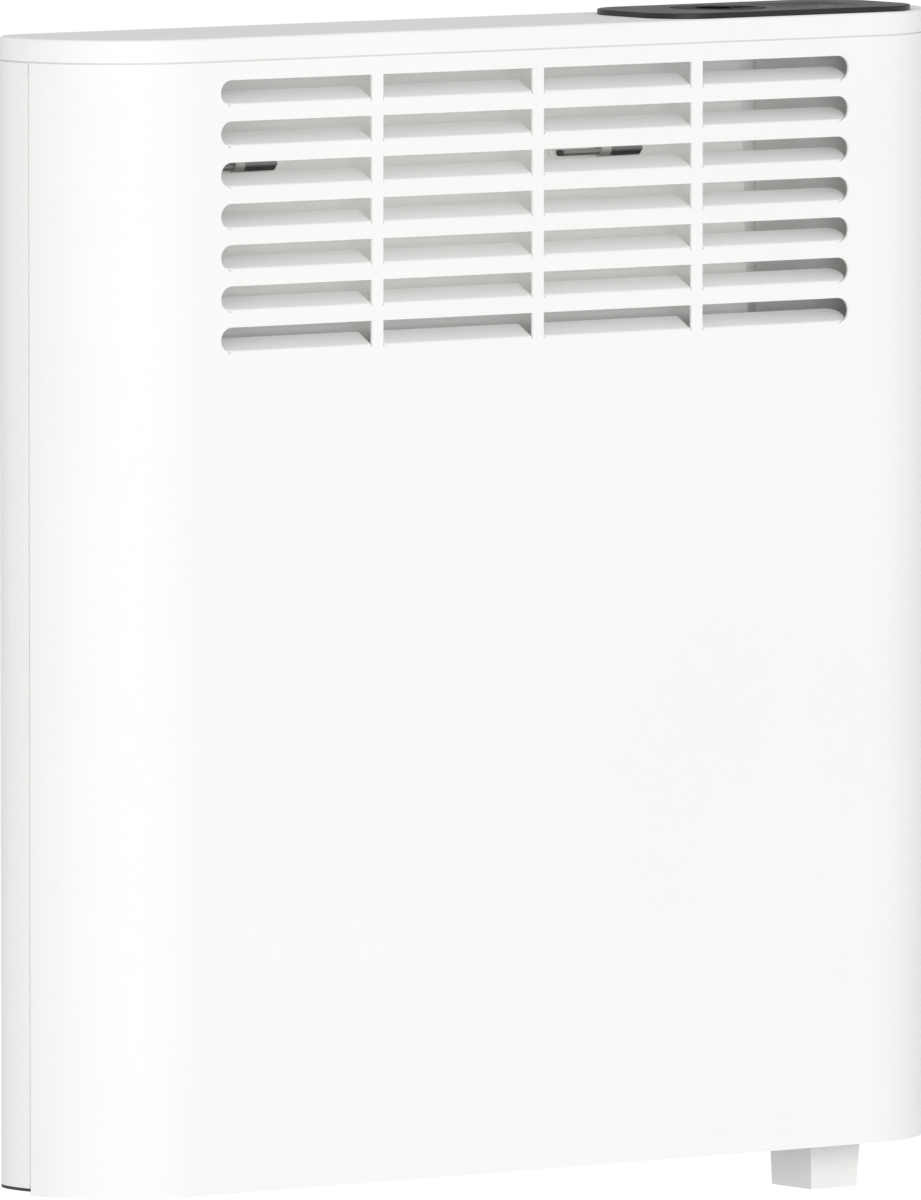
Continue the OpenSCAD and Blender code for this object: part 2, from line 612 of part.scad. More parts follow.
// rivet through a packet of sheets t thick, head at the origin, along +Z
module rivet(t) {
  translate([0, 0, -1.1]) cylinder(h = 1.1, d = 6.2);
  cylinder(h = t, d = 3.2);
  translate([0, 0, t]) cylinder(h = 1.6, d = 4.6);
}
module channel_rivets() color("gainsboro") at_wall() {
  for (x = [part_x + 6.4, end_x + 6.4], z = rivet_z) translate([x, shield_y, z]) rotate([-90, 0, 0]) rivet(2 * shield_t);
  for (s = [-1, 1]) translate([part_x, cut_y + s * 11.5, cut_z]) rotate([0, 90, 0]) rivet(shield_t + 1);
}

// ---------- heating element ----------
fin_x0 = -166;
fin_n = 40;
fin_p = 6.6;
module heating_element_fins() color([0.72, 0.73, 0.74]) at_wall() {
  difference() {
    union() {
      rod_x(fin_x0, fin_x0 + (fin_n - 1) * fin_p + 1.2, core_y, core_z, 13);
      // two longitudinal webs and the fins
      box([fin_x0, core_y - 1, core_z - 17], [fin_x0 + (fin_n - 1) * fin_p + 1.2, core_y + 1, core_z + 17]);
      for (k = [0 : fin_n - 1]) box([fin_x0 + k * fin_p, core_y - 15, core_z - 19], [fin_x0 + k * fin_p + 1.2, core_y + 15, core_z + 19]);
    }
    rod_x(fin_x0 - 1, fin_x0 + fin_n * fin_p + 2, core_y, core_z, 8.5);
  }
}
module element_sheath() color([0.45, 0.44, 0.42]) at_wall() rod_x(end_x - 6, part_x + 8, core_y, core_z, 8.5);
module element_bushes() color([0.93, 0.9, 0.84]) at_wall() for (s = [0, 1]) {
  x = s ? part_x : end_x;
  difference() {
    union() {
      rod_x(x - 3.2, x, core_y, core_z, 19);
      rod_x(x, x + shield_t, core_y, core_z, 14);
      rod_x(x + shield_t, x + 4, core_y, core_z, 19);
    }
    rod_x(x - 5, x + 5, core_y, core_z, 8.5);
  }
}
module element_terminals() color("silver") at_wall() for (s = [0, 1]) {
  x = s ? part_x + 8 : end_x - 6;
  d = s ? 1 : -1;
  rod_x(min(x, x + d * 10), max(x, x + d * 10), core_y, core_z, 4);
  rod_x(min(x + d * 2, x + d * 5), max(x + d * 2, x + d * 5), core_y, core_z, 8, $fn = 6);
  box([min(x + d * 5, x + d * 6), core_y - 4, core_z - 4], [max(x + d * 5, x + d * 6), core_y + 14, core_z + 4]);
}

// main cut-out on the partition: sensing cap in the air channel, blades in the
// cool compartment
cut_y = 37;
cut_z = 122;
module thermal_cutout() color([0.5, 0.42, 0.3]) at_wall() difference() {
  union() {
    rod_x(part_x - 2.6, part_x + shield_t, cut_y, cut_z, 12);
    box([part_x + shield_t, cut_y - 15, cut_z - 4], [part_x + shield_t + 1, cut_y + 15, cut_z + 4]);
    rod_x(part_x + shield_t, part_x + shield_t + 7, cut_y, cut_z, 16);
    for (s = [-1, 1]) box([part_x + shield_t + 7, cut_y - 3.15, cut_z + s * 4.6 - 0.4], [part_x + shield_t + 14, cut_y + 3.15, cut_z + s * 4.6 + 0.4]);
  }
  for (s = [-1, 1]) rod_x(part_x, part_x + 3, cut_y + s * 11.5, cut_z, 3.2);
}

// outlet limiters: a capsule with a light collar in a dark sleeve, hanging
// behind the third louvre row on two legs that pass back through the deflector
lim_left_x = -129.5;
lim_right_x = 48.4;
leg_y = 46;
lim_legs = [lim_left_x - 23.5, lim_left_x + 16.4, lim_right_x - 23.5, lim_right_x + 16.4];
lead_drop = 0.7;
module limiter(x) {
  rod_x(x - 0.2, x + 14.6, lim_y, lim_z, 3.2);
  rod_x(x - 4.8, x - 0.2, lim_y, lim_z, 5.2);
  wire([[x - 4.8, lim_y, lim_z - lead_drop], [x - 23.5, lim_y, lim_z - lead_drop], [x - 23.5, leg_y, lim_z - lead_drop]], 2.4, 1.8);
  wire([[x + 14.6, lim_y, lim_z], [x + 16.4, lim_y, lim_z], [x + 16.4, leg_y, lim_z]], 2.4, 1.5);
}
module outlet_limiter_left() color([0.6, 0.6, 0.6]) at_wall() limiter(lim_left_x);
module outlet_limiter_right() color([0.6, 0.6, 0.6]) at_wall() limiter(lim_right_x);
module limiter_sleeves() color([0.1, 0.1, 0.1]) at_wall() for (x = [lim_left_x, lim_right_x]) difference() {
  rod_x(x - 0.2, x + 14.6, lim_y, lim_z, 5);
  rod_x(x - 1, x + 17, lim_y, lim_z, 3.2);
}
// leads from the four legs: one link, and two that run into the compartment
module limiter_leads() color([0.85, 0.83, 0.8]) at_wall() {
  z = lim_z - lead_drop;
  wire([[lim_legs[0], leg_y, z], [lim_legs[0], 56, z], [141.5, 56, z], [141.5, 56, 300], [168, 56, 300], [168, 56, 254]], 2.4, 4);
  wire([[lim_legs[1], leg_y, lim_z], [lim_legs[1], 51, lim_z], [-90, 51, lim_z], [-90, 51, 388], [12, 51, 388], [12, 51, z], [lim_legs[2], 51, z], [lim_legs[2], leg_y, z]], 2.4, 2.4);
  wire([[lim_legs[3], leg_y, lim_z], [lim_legs[3], 51, lim_z], [145, 51, lim_z], [145, 51, 318], [173, 51, 318], [173, 51, 254]], 2.4, 4);
}
// deflector depth at a given height
function dfl_y(z) = dfl[2][0] + (dfl[3][0] - dfl[2][0]) * (z - dfl[2][1]) / (dfl[3][1] - dfl[2][1]);
module lead_grommets() color([0.15, 0.15, 0.15]) at_wall() {
  for (k = [0 : 3]) translate([lim_legs[k], 0, lim_z]) difference() {
    rod_y(dfl_y(lim_z) - 1.5, dfl_y(lim_z) + 2.6, 0, 0, 6);
    rod_y(dfl_y(lim_z) - 4, dfl_y(lim_z) + 4, 0, k % 2 ? 0 : -lead_drop, 2.4);
  }
  difference() {
    union() {
      rod_x(part_u - 1.6, part_u, 53.3, lim_z, 11.2);
      rod_x(part_u, part_u + shield_t, 53.3, lim_z, 10.4);
      rod_x(part_u + shield_t, part_u + 2.4, 53.3, lim_z, 11.2);
    }
    rod_x(part_u - 3, part_u + 4, 53.3, lim_z, 8.6);
  }
}

// ---------- electronics ----------
module power_board() color([0.1, 0.35, 0.2]) at_wall() {
  difference() {
    box([121, 61.4, 149], [197, 63, 271]);
    for (p = board_pts) rod_y(60, 65, p[0], p[1], 3.4);
  }
  box([124, 50, 246], [160, 61.4, 258]);
  box([164, 49.5, 246], [184, 61.4, 254]);
  box([128, 58, 208], [140, 61.4, 216]);
}
module relay() color([0.1, 0.2, 0.5]) at_wall() box([129, 43, 168], [149, 61.4, 196]);
module board_transformer() color([0.75, 0.65, 0.2]) at_wall() {
  box([157, 40, 166], [187, 58, 196]);
  box([161, 36, 170], [183, 61.4, 192]);
}
module board_capacitor() color([0.12, 0.12, 0.14]) at_wall() {
  rod_y(42, 61.4, 170, 222, 12.5);
}
module board_standoffs() color("gainsboro") at_wall() for (p = board_pts) {
  rod_y(63, casing_d - sheet, p[0], p[1], 6);
  rod_y(58.6, 63, p[0], p[1], 3);
  rod_y(58.6, 61.4, p[0], p[1], 5.6);
  rod_y(casing_d - sheet, casing_d + 1.4, p[0], p[1], 3);
}
module terminal_block() color([0.92, 0.9, 0.85]) at_wall() {
  difference() {
    union() {
      box([130, 58, 56], [178, casing_d - sheet, 72]);
      box([140, 50, 56], [168, 58, 72]);
    }
    for (k = [0 : 2]) {
      rod_y(45, 59, 145 + k * 9, 64, 5);
      rod_z(54, 74, 145 + k * 9, 60, 3.6);
    }
    for (p = block_pts) rod_y(50, casing_d, p[0], p[1], 3);
  }
}
module terminal_screws() color("silver") at_wall() {
  for (k = [0 : 2]) translate([145 + k * 9, 52.5, 64]) rotate([-90, 0, 0]) difference() {
    cylinder(h = 6.4, d = 4.8);
    translate([-3, -0.4, -0.1]) cube([6, 0.8, 1.1]);
  }
  for (p = block_pts) screw_back(p[0], p[1], 58, casing_d + 1.4, 2.9, 5.8, 1.8);
}
module earth_screw() color([0.8, 0.65, 0.25]) at_wall() {
  rod_y(62, casing_d + 1.4, earth_pt[0], earth_pt[1], 3.9);
  rod_y(64.5, 67.5, earth_pt[0], earth_pt[1], 8, $fn = 6);
  rod_y(67.5, 68.3, earth_pt[0], earth_pt[1], 9.5);
  difference() {
    box([earth_pt[0] - 4, 68.3, earth_pt[1] - 4], [earth_pt[0] + 4, 69.1, earth_pt[1] + 13]);
    rod_y(67, 70, earth_pt[0], earth_pt[1], 3.9);
  }
}

// element to cut-out, cut-out to board, and the far end of the element round
// the back of the rear shield to the board
module element_leads() color([0.85, 0.83, 0.8]) at_wall() {
  x = part_x + 13.5;
  wire([[x, 48, 85], [x, 48, 101], [x, core_y, 101], [x, core_y, cut_z - 5]], 2.6, 4);
  wire([[x, cut_y, cut_z + 5], [x, cut_y, 232], [x, 56, 232], [x, 56, 246]], 2.6);
  wire([[end_x - 11.5, 48, 77], [end_x - 11.5, 48, 62], [end_x - 11.5, 65.4, 62], [end_x - 11.5, 65.4, 52], [126, 65.4, 52], [126, 65.4, 100], [126, 54.6, 100], [126, 54.6, 222], [134, 54.6, 222], [134, 54.6, 246]], 2.6, 3.8);
}
// terminal block to the board, and the block's earth to the earth screw
module supply_leads() color([0.35, 0.25, 0.2]) at_wall() {
  wire([[145, 60, 68], [145, 60, 86], [150.6, 60, 86], [150.6, 60, 95], [150.6, 52, 95], [150.6, 52, 246]], 2.4, 2.5);
  wire([[154, 60, 68], [154, 60, 80], [154, 52, 80], [154, 52, 246]], 2.4, 3);
  wire([[163, 60, 68], [163, 60, 92], [163, 68.7, 92], [163, 68.7, 116], [154, 68.7, 116]], 2.4, 3);
}
module sensor_lead() color([0.3, 0.3, 0.32]) at_wall()
  wire([[pod_x, 40, -8], [pod_x, 40, 30], [193, 40, 30], [193, 40, 226], [193, 53, 226], [180, 53, 226], [180, 53, 246]], 2);
module panel_lead() color([0.3, 0.3, 0.32]) at_wall()
  wire([[152, 54, board_top + 3], [146, 54, board_top + 3], [146, 54, 340], [179, 54, 340], [179, 54, 254]], 2.4, 3.5);

module cable_grommet() color([0.12, 0.12, 0.12]) at_wall() difference() {
  union() {
    rod_y(casing_d - sheet - 2.4, casing_d - sheet, inlet_pt[0], inlet_pt[1], 20);
    rod_y(casing_d - sheet, casing_d, inlet_pt[0], inlet_pt[1], 15);
    rod_y(casing_d, casing_d + 2.6, inlet_pt[0], inlet_pt[1], 20);
  }
  rod_y(casing_d - 6, casing_d + 6, inlet_pt[0], inlet_pt[1], 9);
}

// ---------- sensor pod ----------
pod_x = 167.5;
pod_y = 39.5;
module pod_body(i) {
  z1 = grille_z;
  z0 = -pod_drop + i;
  intersection() {
    ext_y(0, casing_d) polygon([[pod_x - pod_w / 2 + i, z1], [pod_x + pod_w / 2 - i, z1], [pod_x + pod_w / 2 - 2 - i, z0], [pod_x - pod_w / 2 + 0.5 + i, z0]]);
    ext_x(100, 216) polygon([[pod_y - pod_d / 2 + i, z1], [pod_y + pod_d / 2 - i, z1], [pod_y + pod_d / 2 - 0.8 - i, z0], [pod_y - pod_d / 2 + 0.3 + i, z0]]);
  }
}
module sensor_pod() color("white") at_wall() {
  difference() {
    union() {
      difference() {
        pod_body(0);
        difference() { pod_body(1.6); box([100, 0, -3], [200, 34.6, 4]); }
      }
    }
    // shaft for the sensor lead, vents in the floor and at the back
    for (k = [-2 : 2]) {
      box([pod_x + k * 3.4 - 0.8, 33, -pod_drop - 1], [pod_x + k * 3.4 + 0.8, 47, -pod_drop + 3]);
      box([pod_x + k * 3.4 - 0.8, pod_y, -pod_drop + 4], [pod_x + k * 3.4 + 0.8, casing_d, -8]);
    }
    for (s = [-1, 1]) rod_z(-3.5, 3, pod_x + s * 9, 32, 2);
  }
}
module air_sensor() color([0.15, 0.15, 0.5]) at_wall() {
  translate([pod_x, 40, -12]) sphere(d = 5, $fn = 32);
  rod_z(-10.5, -8, pod_x, 40, 3);
}
module pod_screws() color("silver") at_wall() for (s = [-1, 1]) translate([0, 0, 2 * chassis_z]) mirror([0, 0, 1]) screw_up(pod_x + s * 9, 32, chassis_z, chassis_z + 5.5, 2, 4.6, 1.4);

module casing_screws() color("silver") at_wall() for (x = screw_x) {
  // countersunk at the front
  rod_z(0.6, 8.6, x, 6.2, 2.9);
  difference() {
    translate([x, 6.2, 0.05]) cylinder(h = sheet - 0.1, d1 = 5.6, d2 = 3);
    translate([x, 6.2, -0.1]) for (a = [0, 90]) rotate([0, 0, a]) translate([-1.5, -0.35, 0]) cube([3, 0.7, 0.6]);
  }
  screw_up(x, casing_d - 6, grille_z, 8.6);
}
module cap_screws() color("silver") at_wall() for (x = screw_x) screw_up(x, 6.2, body_z - sheet, cap_under - 1.6);

// ---------- wall bracket ----------
module upright() {
  t = bracket_t;
  difference() {
    union() {
      ext_z(40, casing_h - 30) {
        translate([up_x - t / 2, front_flange_y]) square([t, wall_y - front_flange_y]);
        translate([up_x - t / 2, front_flange_y]) square([18, t]);
        translate([up_x - t / 2, wall_y - t]) square([18, t]);
      }
      // hook that carries the chassis
      ext_x(up_x - t / 2, up_x + t / 2) polygon([[front_flange_y + 1, hook_z - 12], [front_flange_y + 1, hook_z], [69.4, hook_z], [69.4, hook_z + 6], [68.4, hook_z + 7.5], [66.4, hook_z + 7.5], [66.4, hook_z - 12]]);
    }
    rod_y(front_flange_y - 1, front_flange_y + t + 1, latch_x, latch_z, 6.1);
  }
}
module bracket_upright_right() color([0.8, 0.81, 0.82]) at_wall() upright();
module bracket_upright_left() color([0.8, 0.81, 0.82]) at_wall() mirror([1, 0, 0]) upright();
module rail(z, s) {
  t = bracket_t;
  difference() {
    union() {
      box([-(up_x - t / 2), wall_y - t, z - 15], [up_x - t / 2, wall_y, z + 15]);
      box([-(up_x - t / 2), wall_y - 9, z + s * 15 - (s > 0 ? t : 0)], [up_x - t / 2, wall_y, z + s * 15 + (s > 0 ? 0 : t)]);
    }
    for (x = [-screw_dx / 2, screw_dx / 2]) rod_y(wall_y - 5, wall_y + 1, x, z, screw_hole_d);
  }
}
module bracket_rail_top() color([0.8, 0.81, 0.82]) at_wall() rail(mount_z + screw_dz / 2, 1);
module bracket_rail_bottom() color([0.8, 0.81, 0.82]) at_wall() rail(mount_z - screw_dz / 2, -1);

// quarter-turn latch: cross head behind the chassis sheet, lever in the gap
module latch() {
  y = front_flange_y;
  translate([latch_x, 0, latch_z]) {
    rod_y(70.3, y + 5.4, 0, 0, 6);
    rod_y(casing_d + 0.5, y - 0.35, 0, 0, 10);
    box([-10, 67.2, -3], [10, 70.4, 3]);
    rod_y(y + bracket_t + 0.4, y + 5.4, 0, 0, 12);
    box([-3.5, y + bracket_t + 0.4, 0], [3.5, y + 5.4, 22]);
    rod_y(y + bracket_t + 0.4, y + 5.4, 0, 22, 7);
  }
}
module bracket_latch_right() color([0.85, 0.3, 0.15]) at_wall() latch();
module bracket_latch_left() color([0.85, 0.3, 0.15]) at_wall() mirror([1, 0, 0]) latch();
module bracket_pads() color([0.1, 0.1, 0.1]) at_wall() both_sides() for (z = [120, 330]) box([up_x + 4, casing_d, z], [up_x + 16, front_flange_y, z + 22]);

front_casing();
rear_chassis();
top_cap();
inlet_grille();
control_panel();
temperature_dial();
dial_shaft();
dial_encoder();
power_button();
mode_button();
button_switches();
display_lens();
display_module();
display_board();
indicator_lens();
control_housing();
panel_screws();
front_heat_shield();
rear_heat_shield();
shield_spacers();
shield_screws();
air_deflector();
partition_plate();
channel_end_plate();
channel_rivets();
heating_element_fins();
element_sheath();
element_bushes();
element_terminals();
thermal_cutout();
outlet_limiter_left();
outlet_limiter_right();
limiter_sleeves();
limiter_leads();
lead_grommets();
power_board();
relay();
board_transformer();
board_capacitor();
board_standoffs();
terminal_block();
terminal_screws();
earth_screw();
element_leads();
supply_leads();
sensor_lead();
panel_lead();
cable_grommet();
sensor_pod();
air_sensor();
pod_screws();
casing_screws();
cap_screws();
bracket_upright_left();
bracket_upright_right();
bracket_rail_top();
bracket_rail_bottom();
bracket_latch_left();
bracket_latch_right();
bracket_pads();
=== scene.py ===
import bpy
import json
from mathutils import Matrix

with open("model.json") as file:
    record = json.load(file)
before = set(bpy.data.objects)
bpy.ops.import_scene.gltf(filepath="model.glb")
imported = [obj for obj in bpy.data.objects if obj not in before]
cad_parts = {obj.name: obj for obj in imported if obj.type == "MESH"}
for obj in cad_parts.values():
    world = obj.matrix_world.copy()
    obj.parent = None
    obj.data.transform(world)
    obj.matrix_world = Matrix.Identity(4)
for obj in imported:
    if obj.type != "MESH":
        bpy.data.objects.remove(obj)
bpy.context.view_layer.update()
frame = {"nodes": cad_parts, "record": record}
import bpy
import json
import math
from mathutils import Matrix, Vector

nodes = frame["nodes"]


def P(x, y, z):
    """Body frame in millimetres (X right, Y back from the front plane, z up from the casing's bottom) to the row frame in metres."""
    return Vector((x / 1000.0, (y - 100.0) / 1000.0, (z - 225.0) / 1000.0))


# ------------------------------------------------------------------ materials
class Mat:
    """Small helper round a node tree."""

    def __init__(self, name):
        self.m = bpy.data.materials.new(name)
        self.m.use_nodes = True
        self.t = self.m.node_tree
        self.b = next(n for n in self.t.nodes if n.type == "BSDF_PRINCIPLED")
        self.co = self.t.nodes.new("ShaderNodeTexCoord")

    def n(self, kind, **kw):
        node = self.t.nodes.new(kind)
        for k, v in kw.items():
            setattr(node, k, v)
        return node

    def link(self, a, b):
        self.t.links.new(a, b)

    def mapping(self, scale=(1, 1, 1), rot=(0, 0, 0), loc=(0, 0, 0)):
        m = self.n("ShaderNodeMapping")
        m.inputs["Scale"].default_value = scale
        m.inputs["Rotation"].default_value = rot
        m.inputs["Location"].default_value = loc
        self.link(self.co.outputs["Object"], m.inputs["Vector"])
        return m.outputs["Vector"]

    def noise(self, vec, scale, detail=4.0, rough=0.55, dist=0.0):
        n = self.n("ShaderNodeTexNoise")
        n.inputs["Scale"].default_value = scale
        n.inputs["Detail"].default_value = detail
        n.inputs["Roughness"].default_value = rough
        n.inputs["Distortion"].default_value = dist
        self.link(vec, n.inputs["Vector"])
        return n.outputs["Fac"]

    def voronoi(self, vec, scale, feature="F1", out="Distance"):
        n = self.n("ShaderNodeTexVoronoi")
        n.feature = feature
        n.inputs["Scale"].default_value = scale
        self.link(vec, n.inputs["Vector"])
        return n.outputs[out]

    def ramp(self, fac, stops):
        r = self.n("ShaderNodeValToRGB")
        e = r.color_ramp.elements
        while len(e) < len(stops):
            e.new(0.5)
        for el, (pos, col) in zip(e, stops):
            el.position = pos
            el.color = (*col, 1) if len(col) == 3 else col
        self.link(fac, r.inputs["Fac"])
        return r.outputs["Color"]

    def rng(self, fac, lo, hi, a=0.3, b=0.7):
        r = self.n("ShaderNodeMapRange")
        r.inputs["From Min"].default_value = a
        r.inputs["From Max"].default_value = b
        r.inputs["To Min"].default_value = lo
        r.inputs["To Max"].default_value = hi
        self.link(fac, r.inputs["Value"])
        return r.outputs["Result"]

    def mix(self, fac, a, b, mode="MIX"):
        m = self.n("ShaderNodeMix")
        m.data_type = "RGBA"
        m.blend_type = mode
        if isinstance(fac, (int, float)):
            m.inputs["Factor"].default_value = fac
        else:
            self.link(fac, m.inputs["Factor"])
        for s, v in (("A", a), ("B", b)):
            sock = [i for i in m.inputs if i.name == s and i.type == "RGBA"][0]
            if isinstance(v, (tuple, list)):
                sock.default_value = (*v, 1)
            else:
                self.link(v, sock)
        return [o for o in m.outputs if o.type == "RGBA"][0]

    def math(self, op, a, b=None):
        m = self.n("ShaderNodeMath")
        m.operation = op
        for i, v in enumerate((a, b)):
            if v is None:
                continue
            if isinstance(v, (int, float)):
                m.inputs[i].default_value = v
            else:
                self.link(v, m.inputs[i])
        return m.outputs[0]

    def bump(self, height, dist, strength=1.0, normal=None):
        b = self.n("ShaderNodeBump")
        b.inputs["Distance"].default_value = dist
        b.inputs["Strength"].default_value = strength
        self.link(height, b.inputs["Height"])
        if normal is not None:
            self.link(normal, b.inputs["Normal"])
        return b.outputs["Normal"]

    def color(self, v):
        if isinstance(v, (tuple, list)):
            self.b.inputs["Base Color"].default_value = (*v, 1)
        else:
            self.link(v, self.b.inputs["Base Color"])

    def rough(self, v):
        if isinstance(v, (int, float)):
            self.b.inputs["Roughness"].default_value = v
        else:
            self.link(v, self.b.inputs["Roughness"])

    def normal(self, v):
        self.link(v, self.b.inputs["Normal"])

    def set(self, name, v):
        self.b.inputs[name].default_value = v


def powder_coat(name, base, rough=0.6, tint=0.008, bump=0.00003, spec=0.2):
    """Sprayed paint: a very slight mottling, an orange-peel bump and a fine grain."""
    m = Mat(name)
    o = m.mapping()
    big = m.noise(o, 9.0, 3.0, 0.5)
    fine = m.noise(o, 620.0, 2.0, 0.5)
    peel = m.noise(o, 260.0, 2.0, 0.45)
    dark = tuple(c * (1 - tint) for c in base)
    lite = tuple(min(1.0, c * (1 + tint)) for c in base)
    col = m.mix(m.rng(big, 0.0, 1.0), dark, lite)
    grit = m.rng(fine, 1 - tint * 0.8, 1 + tint * 0.4, 0.35, 0.65)
    hsv = m.n("ShaderNodeHueSaturation")
    m.link(grit, hsv.inputs["Value"])
    m.link(col, hsv.inputs["Color"])
    m.color(hsv.outputs["Color"])
    m.rough(m.rng(big, rough - 0.03, rough + 0.04))
    m.set("Specular IOR Level", spec)
    n1 = m.bump(peel, bump, 0.5)
    m.normal(m.bump(fine, bump * 0.35, 0.5, n1))
    return m.m


def plastic(name, base, rough=0.45, grain=900.0, tint=0.08, bump=0.00003, spec=0.5):
    """Moulded plastic with a fine spark-eroded grain and faint flow marks."""
    m = Mat(name)
    o = m.mapping()
    g = m.voronoi(o, grain)
    f = m.noise(m.mapping(scale=(1, 2.2, 0.7)), 38.0, 4.0, 0.6)
    dark = tuple(c * (1 - tint) for c in base)
    lite = tuple(min(1.0, c * (1 + tint)) for c in base)
    m.color(m.mix(m.rng(f, 0.0, 1.0), dark, lite))
    m.rough(m.rng(f, rough - 0.05, rough + 0.06))
    m.normal(m.bump(g, bump, 0.35))
    m.set("Specular IOR Level", spec)
    return m.m


def sheet_metal(name, base, rough=0.34, spangle=0.0, stretch=(1, 1, 60), tint=0.12, metallic=1.0):
    """Rolled or zinc-coated sheet: fine rolling lines, and crystals where it is galvanised."""
    m = Mat(name)
    line = m.noise(m.mapping(scale=stretch), 14.0, 5.0, 0.6)
    o = m.mapping()
    dark = tuple(c * (1 - tint) for c in base)
    lite = tuple(min(1.0, c * (1 + tint)) for c in base)
    col = m.mix(m.rng(line, 0.0, 1.0), dark, lite)
    if spangle:
        v = m.n("ShaderNodeTexVoronoi")
        v.inputs["Scale"].default_value = spangle
        m.link(o, v.inputs["Vector"])
        bw = m.n("ShaderNodeRGBToBW")
        m.link(v.outputs["Color"], bw.inputs["Color"])
        col = m.mix(0.5, col, m.mix(bw.outputs["Val"], dark, lite))
        m.rough(m.rng(bw.outputs["Val"], rough - 0.08, rough + 0.1, 0.0, 1.0))
    else:
        m.rough(m.rng(line, rough - 0.06, rough + 0.08))
    m.color(col)
    m.normal(m.bump(line, 0.00003, 0.3))
    m.set("Metallic", metallic)
    return m.m


white = powder_coat("white_powder_coat", (0.965, 0.967, 0.953))
inner_white = powder_coat("inner_white", (0.975, 0.975, 0.96), 0.6)


def grey_band_with_painted_light(name):
    """Inner white paint on the screen, with a grey band across X from about 0.134 m that pales back to white towards
    the right end as painted light against the shadow there.
    """
    m = Mat(name)
    o = m.mapping()
    sep = m.n("ShaderNodeSeparateXYZ")
    m.link(o, sep.inputs[0])
    f = m.noise(o, 9.0, 3.0, 0.5)
    x = m.math("ADD", sep.outputs["X"], m.rng(f, -0.0006, 0.0006))
    r = m.n("ShaderNodeMapRange")
    r.inputs["From Min"].default_value = 0.120
    r.inputs["From Max"].default_value = 0.180
    m.link(x, r.inputs["Value"])
    # painted light: a grey band over X ≈ 0.134–0.148 m, then the ramp lifts back to white by X ≈ 0.163 m to offset the
    # shadow the casing casts on the right end
    grey = m.ramp(r.outputs["Result"], ((0.0, (0.975, 0.975, 0.96)), (0.20, (0.96, 0.96, 0.945)), (0.235, (0.79, 0.79, 0.775)), (0.46, (0.79, 0.79, 0.775)), (0.60, (0.90, 0.90, 0.885)), (0.72, (0.975, 0.975, 0.96))))
    # the foot of the screen keeps its white
    h = m.n("ShaderNodeMapRange")
    h.inputs["From Min"].default_value = 0.109
    h.inputs["From Max"].default_value = 0.119
    m.link(sep.outputs["Z"], h.inputs["Value"])
    m.color(m.mix(h.outputs["Result"], (0.975, 0.975, 0.96), grey))
    m.rough(m.rng(f, 0.57, 0.64))
    m.set("Specular IOR Level", 0.2)
    m.normal(m.bump(m.noise(o, 260.0, 2.0), 0.00003, 0.5))
    return m.m


partition_white = grey_band_with_painted_light("partition_white")
white_pod = plastic("white_pod_plastic", (0.967, 0.967, 0.95), 0.46, 1100.0, 0.02)
panel_black = plastic("panel_black", (0.015, 0.017, 0.017), 0.43, 1500.0, 0.12, 0.00004, 0.44)
dial_black = plastic("dial_black", (0.002, 0.002, 0.0022), 0.5, 1500.0, 0.1, 0.00003, 0.1)
button_black = plastic("button_black", (0.028, 0.030, 0.031), 0.42, 1700.0, 0.1, 0.00003)
window_black = plastic("window_black", (0.010, 0.011, 0.013), 0.5, 900.0, 0.1, 0.00002, 0.2)
dark_plastic = plastic("dark_plastic", (0.035, 0.036, 0.038), 0.6, 900.0, 0.12, 0.00005)
display_grey = plastic("display_grey", (0.32, 0.34, 0.32), 0.4)
component_black = plastic("component_black", (0.02, 0.02, 0.022), 0.5, 1400.0, 0.15)
relay_blue = plastic("relay_blue", (0.03, 0.07, 0.26), 0.3)
winding = plastic("winding_tape", (0.62, 0.45, 0.07), 0.45, 500.0, 0.15)
cutout_brown = plastic("cutout_brown", (0.10, 0.045, 0.02), 0.45)
terminal_white = plastic("terminal_white", (0.72, 0.71, 0.66), 0.5)
ceramic = plastic("ceramic", (0.78, 0.73, 0.62), 0.7, 500.0, 0.05, 0.00008)
latch_red = plastic("latch_red", (0.55, 0.07, 0.025), 0.4)
lead_light = plastic("lead_light", (0.62, 0.61, 0.58), 0.55, 1200.0, 0.06)
lead_dark = plastic("lead_dark", (0.07, 0.055, 0.045), 0.5, 1200.0, 0.12)
rubber = plastic("rubber_black", (0.018, 0.018, 0.018), 0.75, 1500.0, 0.15, 0.00008)
bracket = sheet_metal("galvanised_bracket", (0.56, 0.57, 0.58), 0.4, 95.0)
inner_steel = sheet_metal("aluminised_sheet", (0.60, 0.60, 0.59), 0.42, 0.0, (60, 1, 1))
zinc = sheet_metal("zinc_plated", (0.62, 0.63, 0.64), 0.3, 0.0, (1, 1, 8))
fins = sheet_metal("extruded_aluminium", (0.66, 0.67, 0.68), 0.38, 0.0, (1, 30, 30))
sheath = sheet_metal("heat_tinted_steel", (0.26, 0.22, 0.19), 0.45, 0.0, (60, 1, 1), 0.3)
brass = sheet_metal("brass", (0.62, 0.43, 0.14), 0.3, 0.0, (1, 1, 8))


def braided(name, base, pitch=2400.0):
    """Woven sleeve: crossed bands."""
    m = Mat(name)
    w1 = m.n("ShaderNodeTexWave")
    w2 = m.n("ShaderNodeTexWave")
    m.link(m.mapping(rot=(0, math.radians(38), 0)), w1.inputs["Vector"])
    m.link(m.mapping(rot=(0, math.radians(-38), 0)), w2.inputs["Vector"])
    for w in (w1, w2):
        w.inputs["Scale"].default_value = pitch / 6.0
    h = m.math("MAXIMUM", w1.outputs["Fac"], w2.outputs["Fac"])
    m.color(m.mix(h, tuple(c * 0.5 for c in base), base))
    m.rough(m.rng(h, 0.85, 0.6, 0.0, 1.0))
    m.normal(m.bump(h, 0.0001, 0.6))
    return m.m


sleeve = braided("sleeve_black", (0.018, 0.018, 0.019))


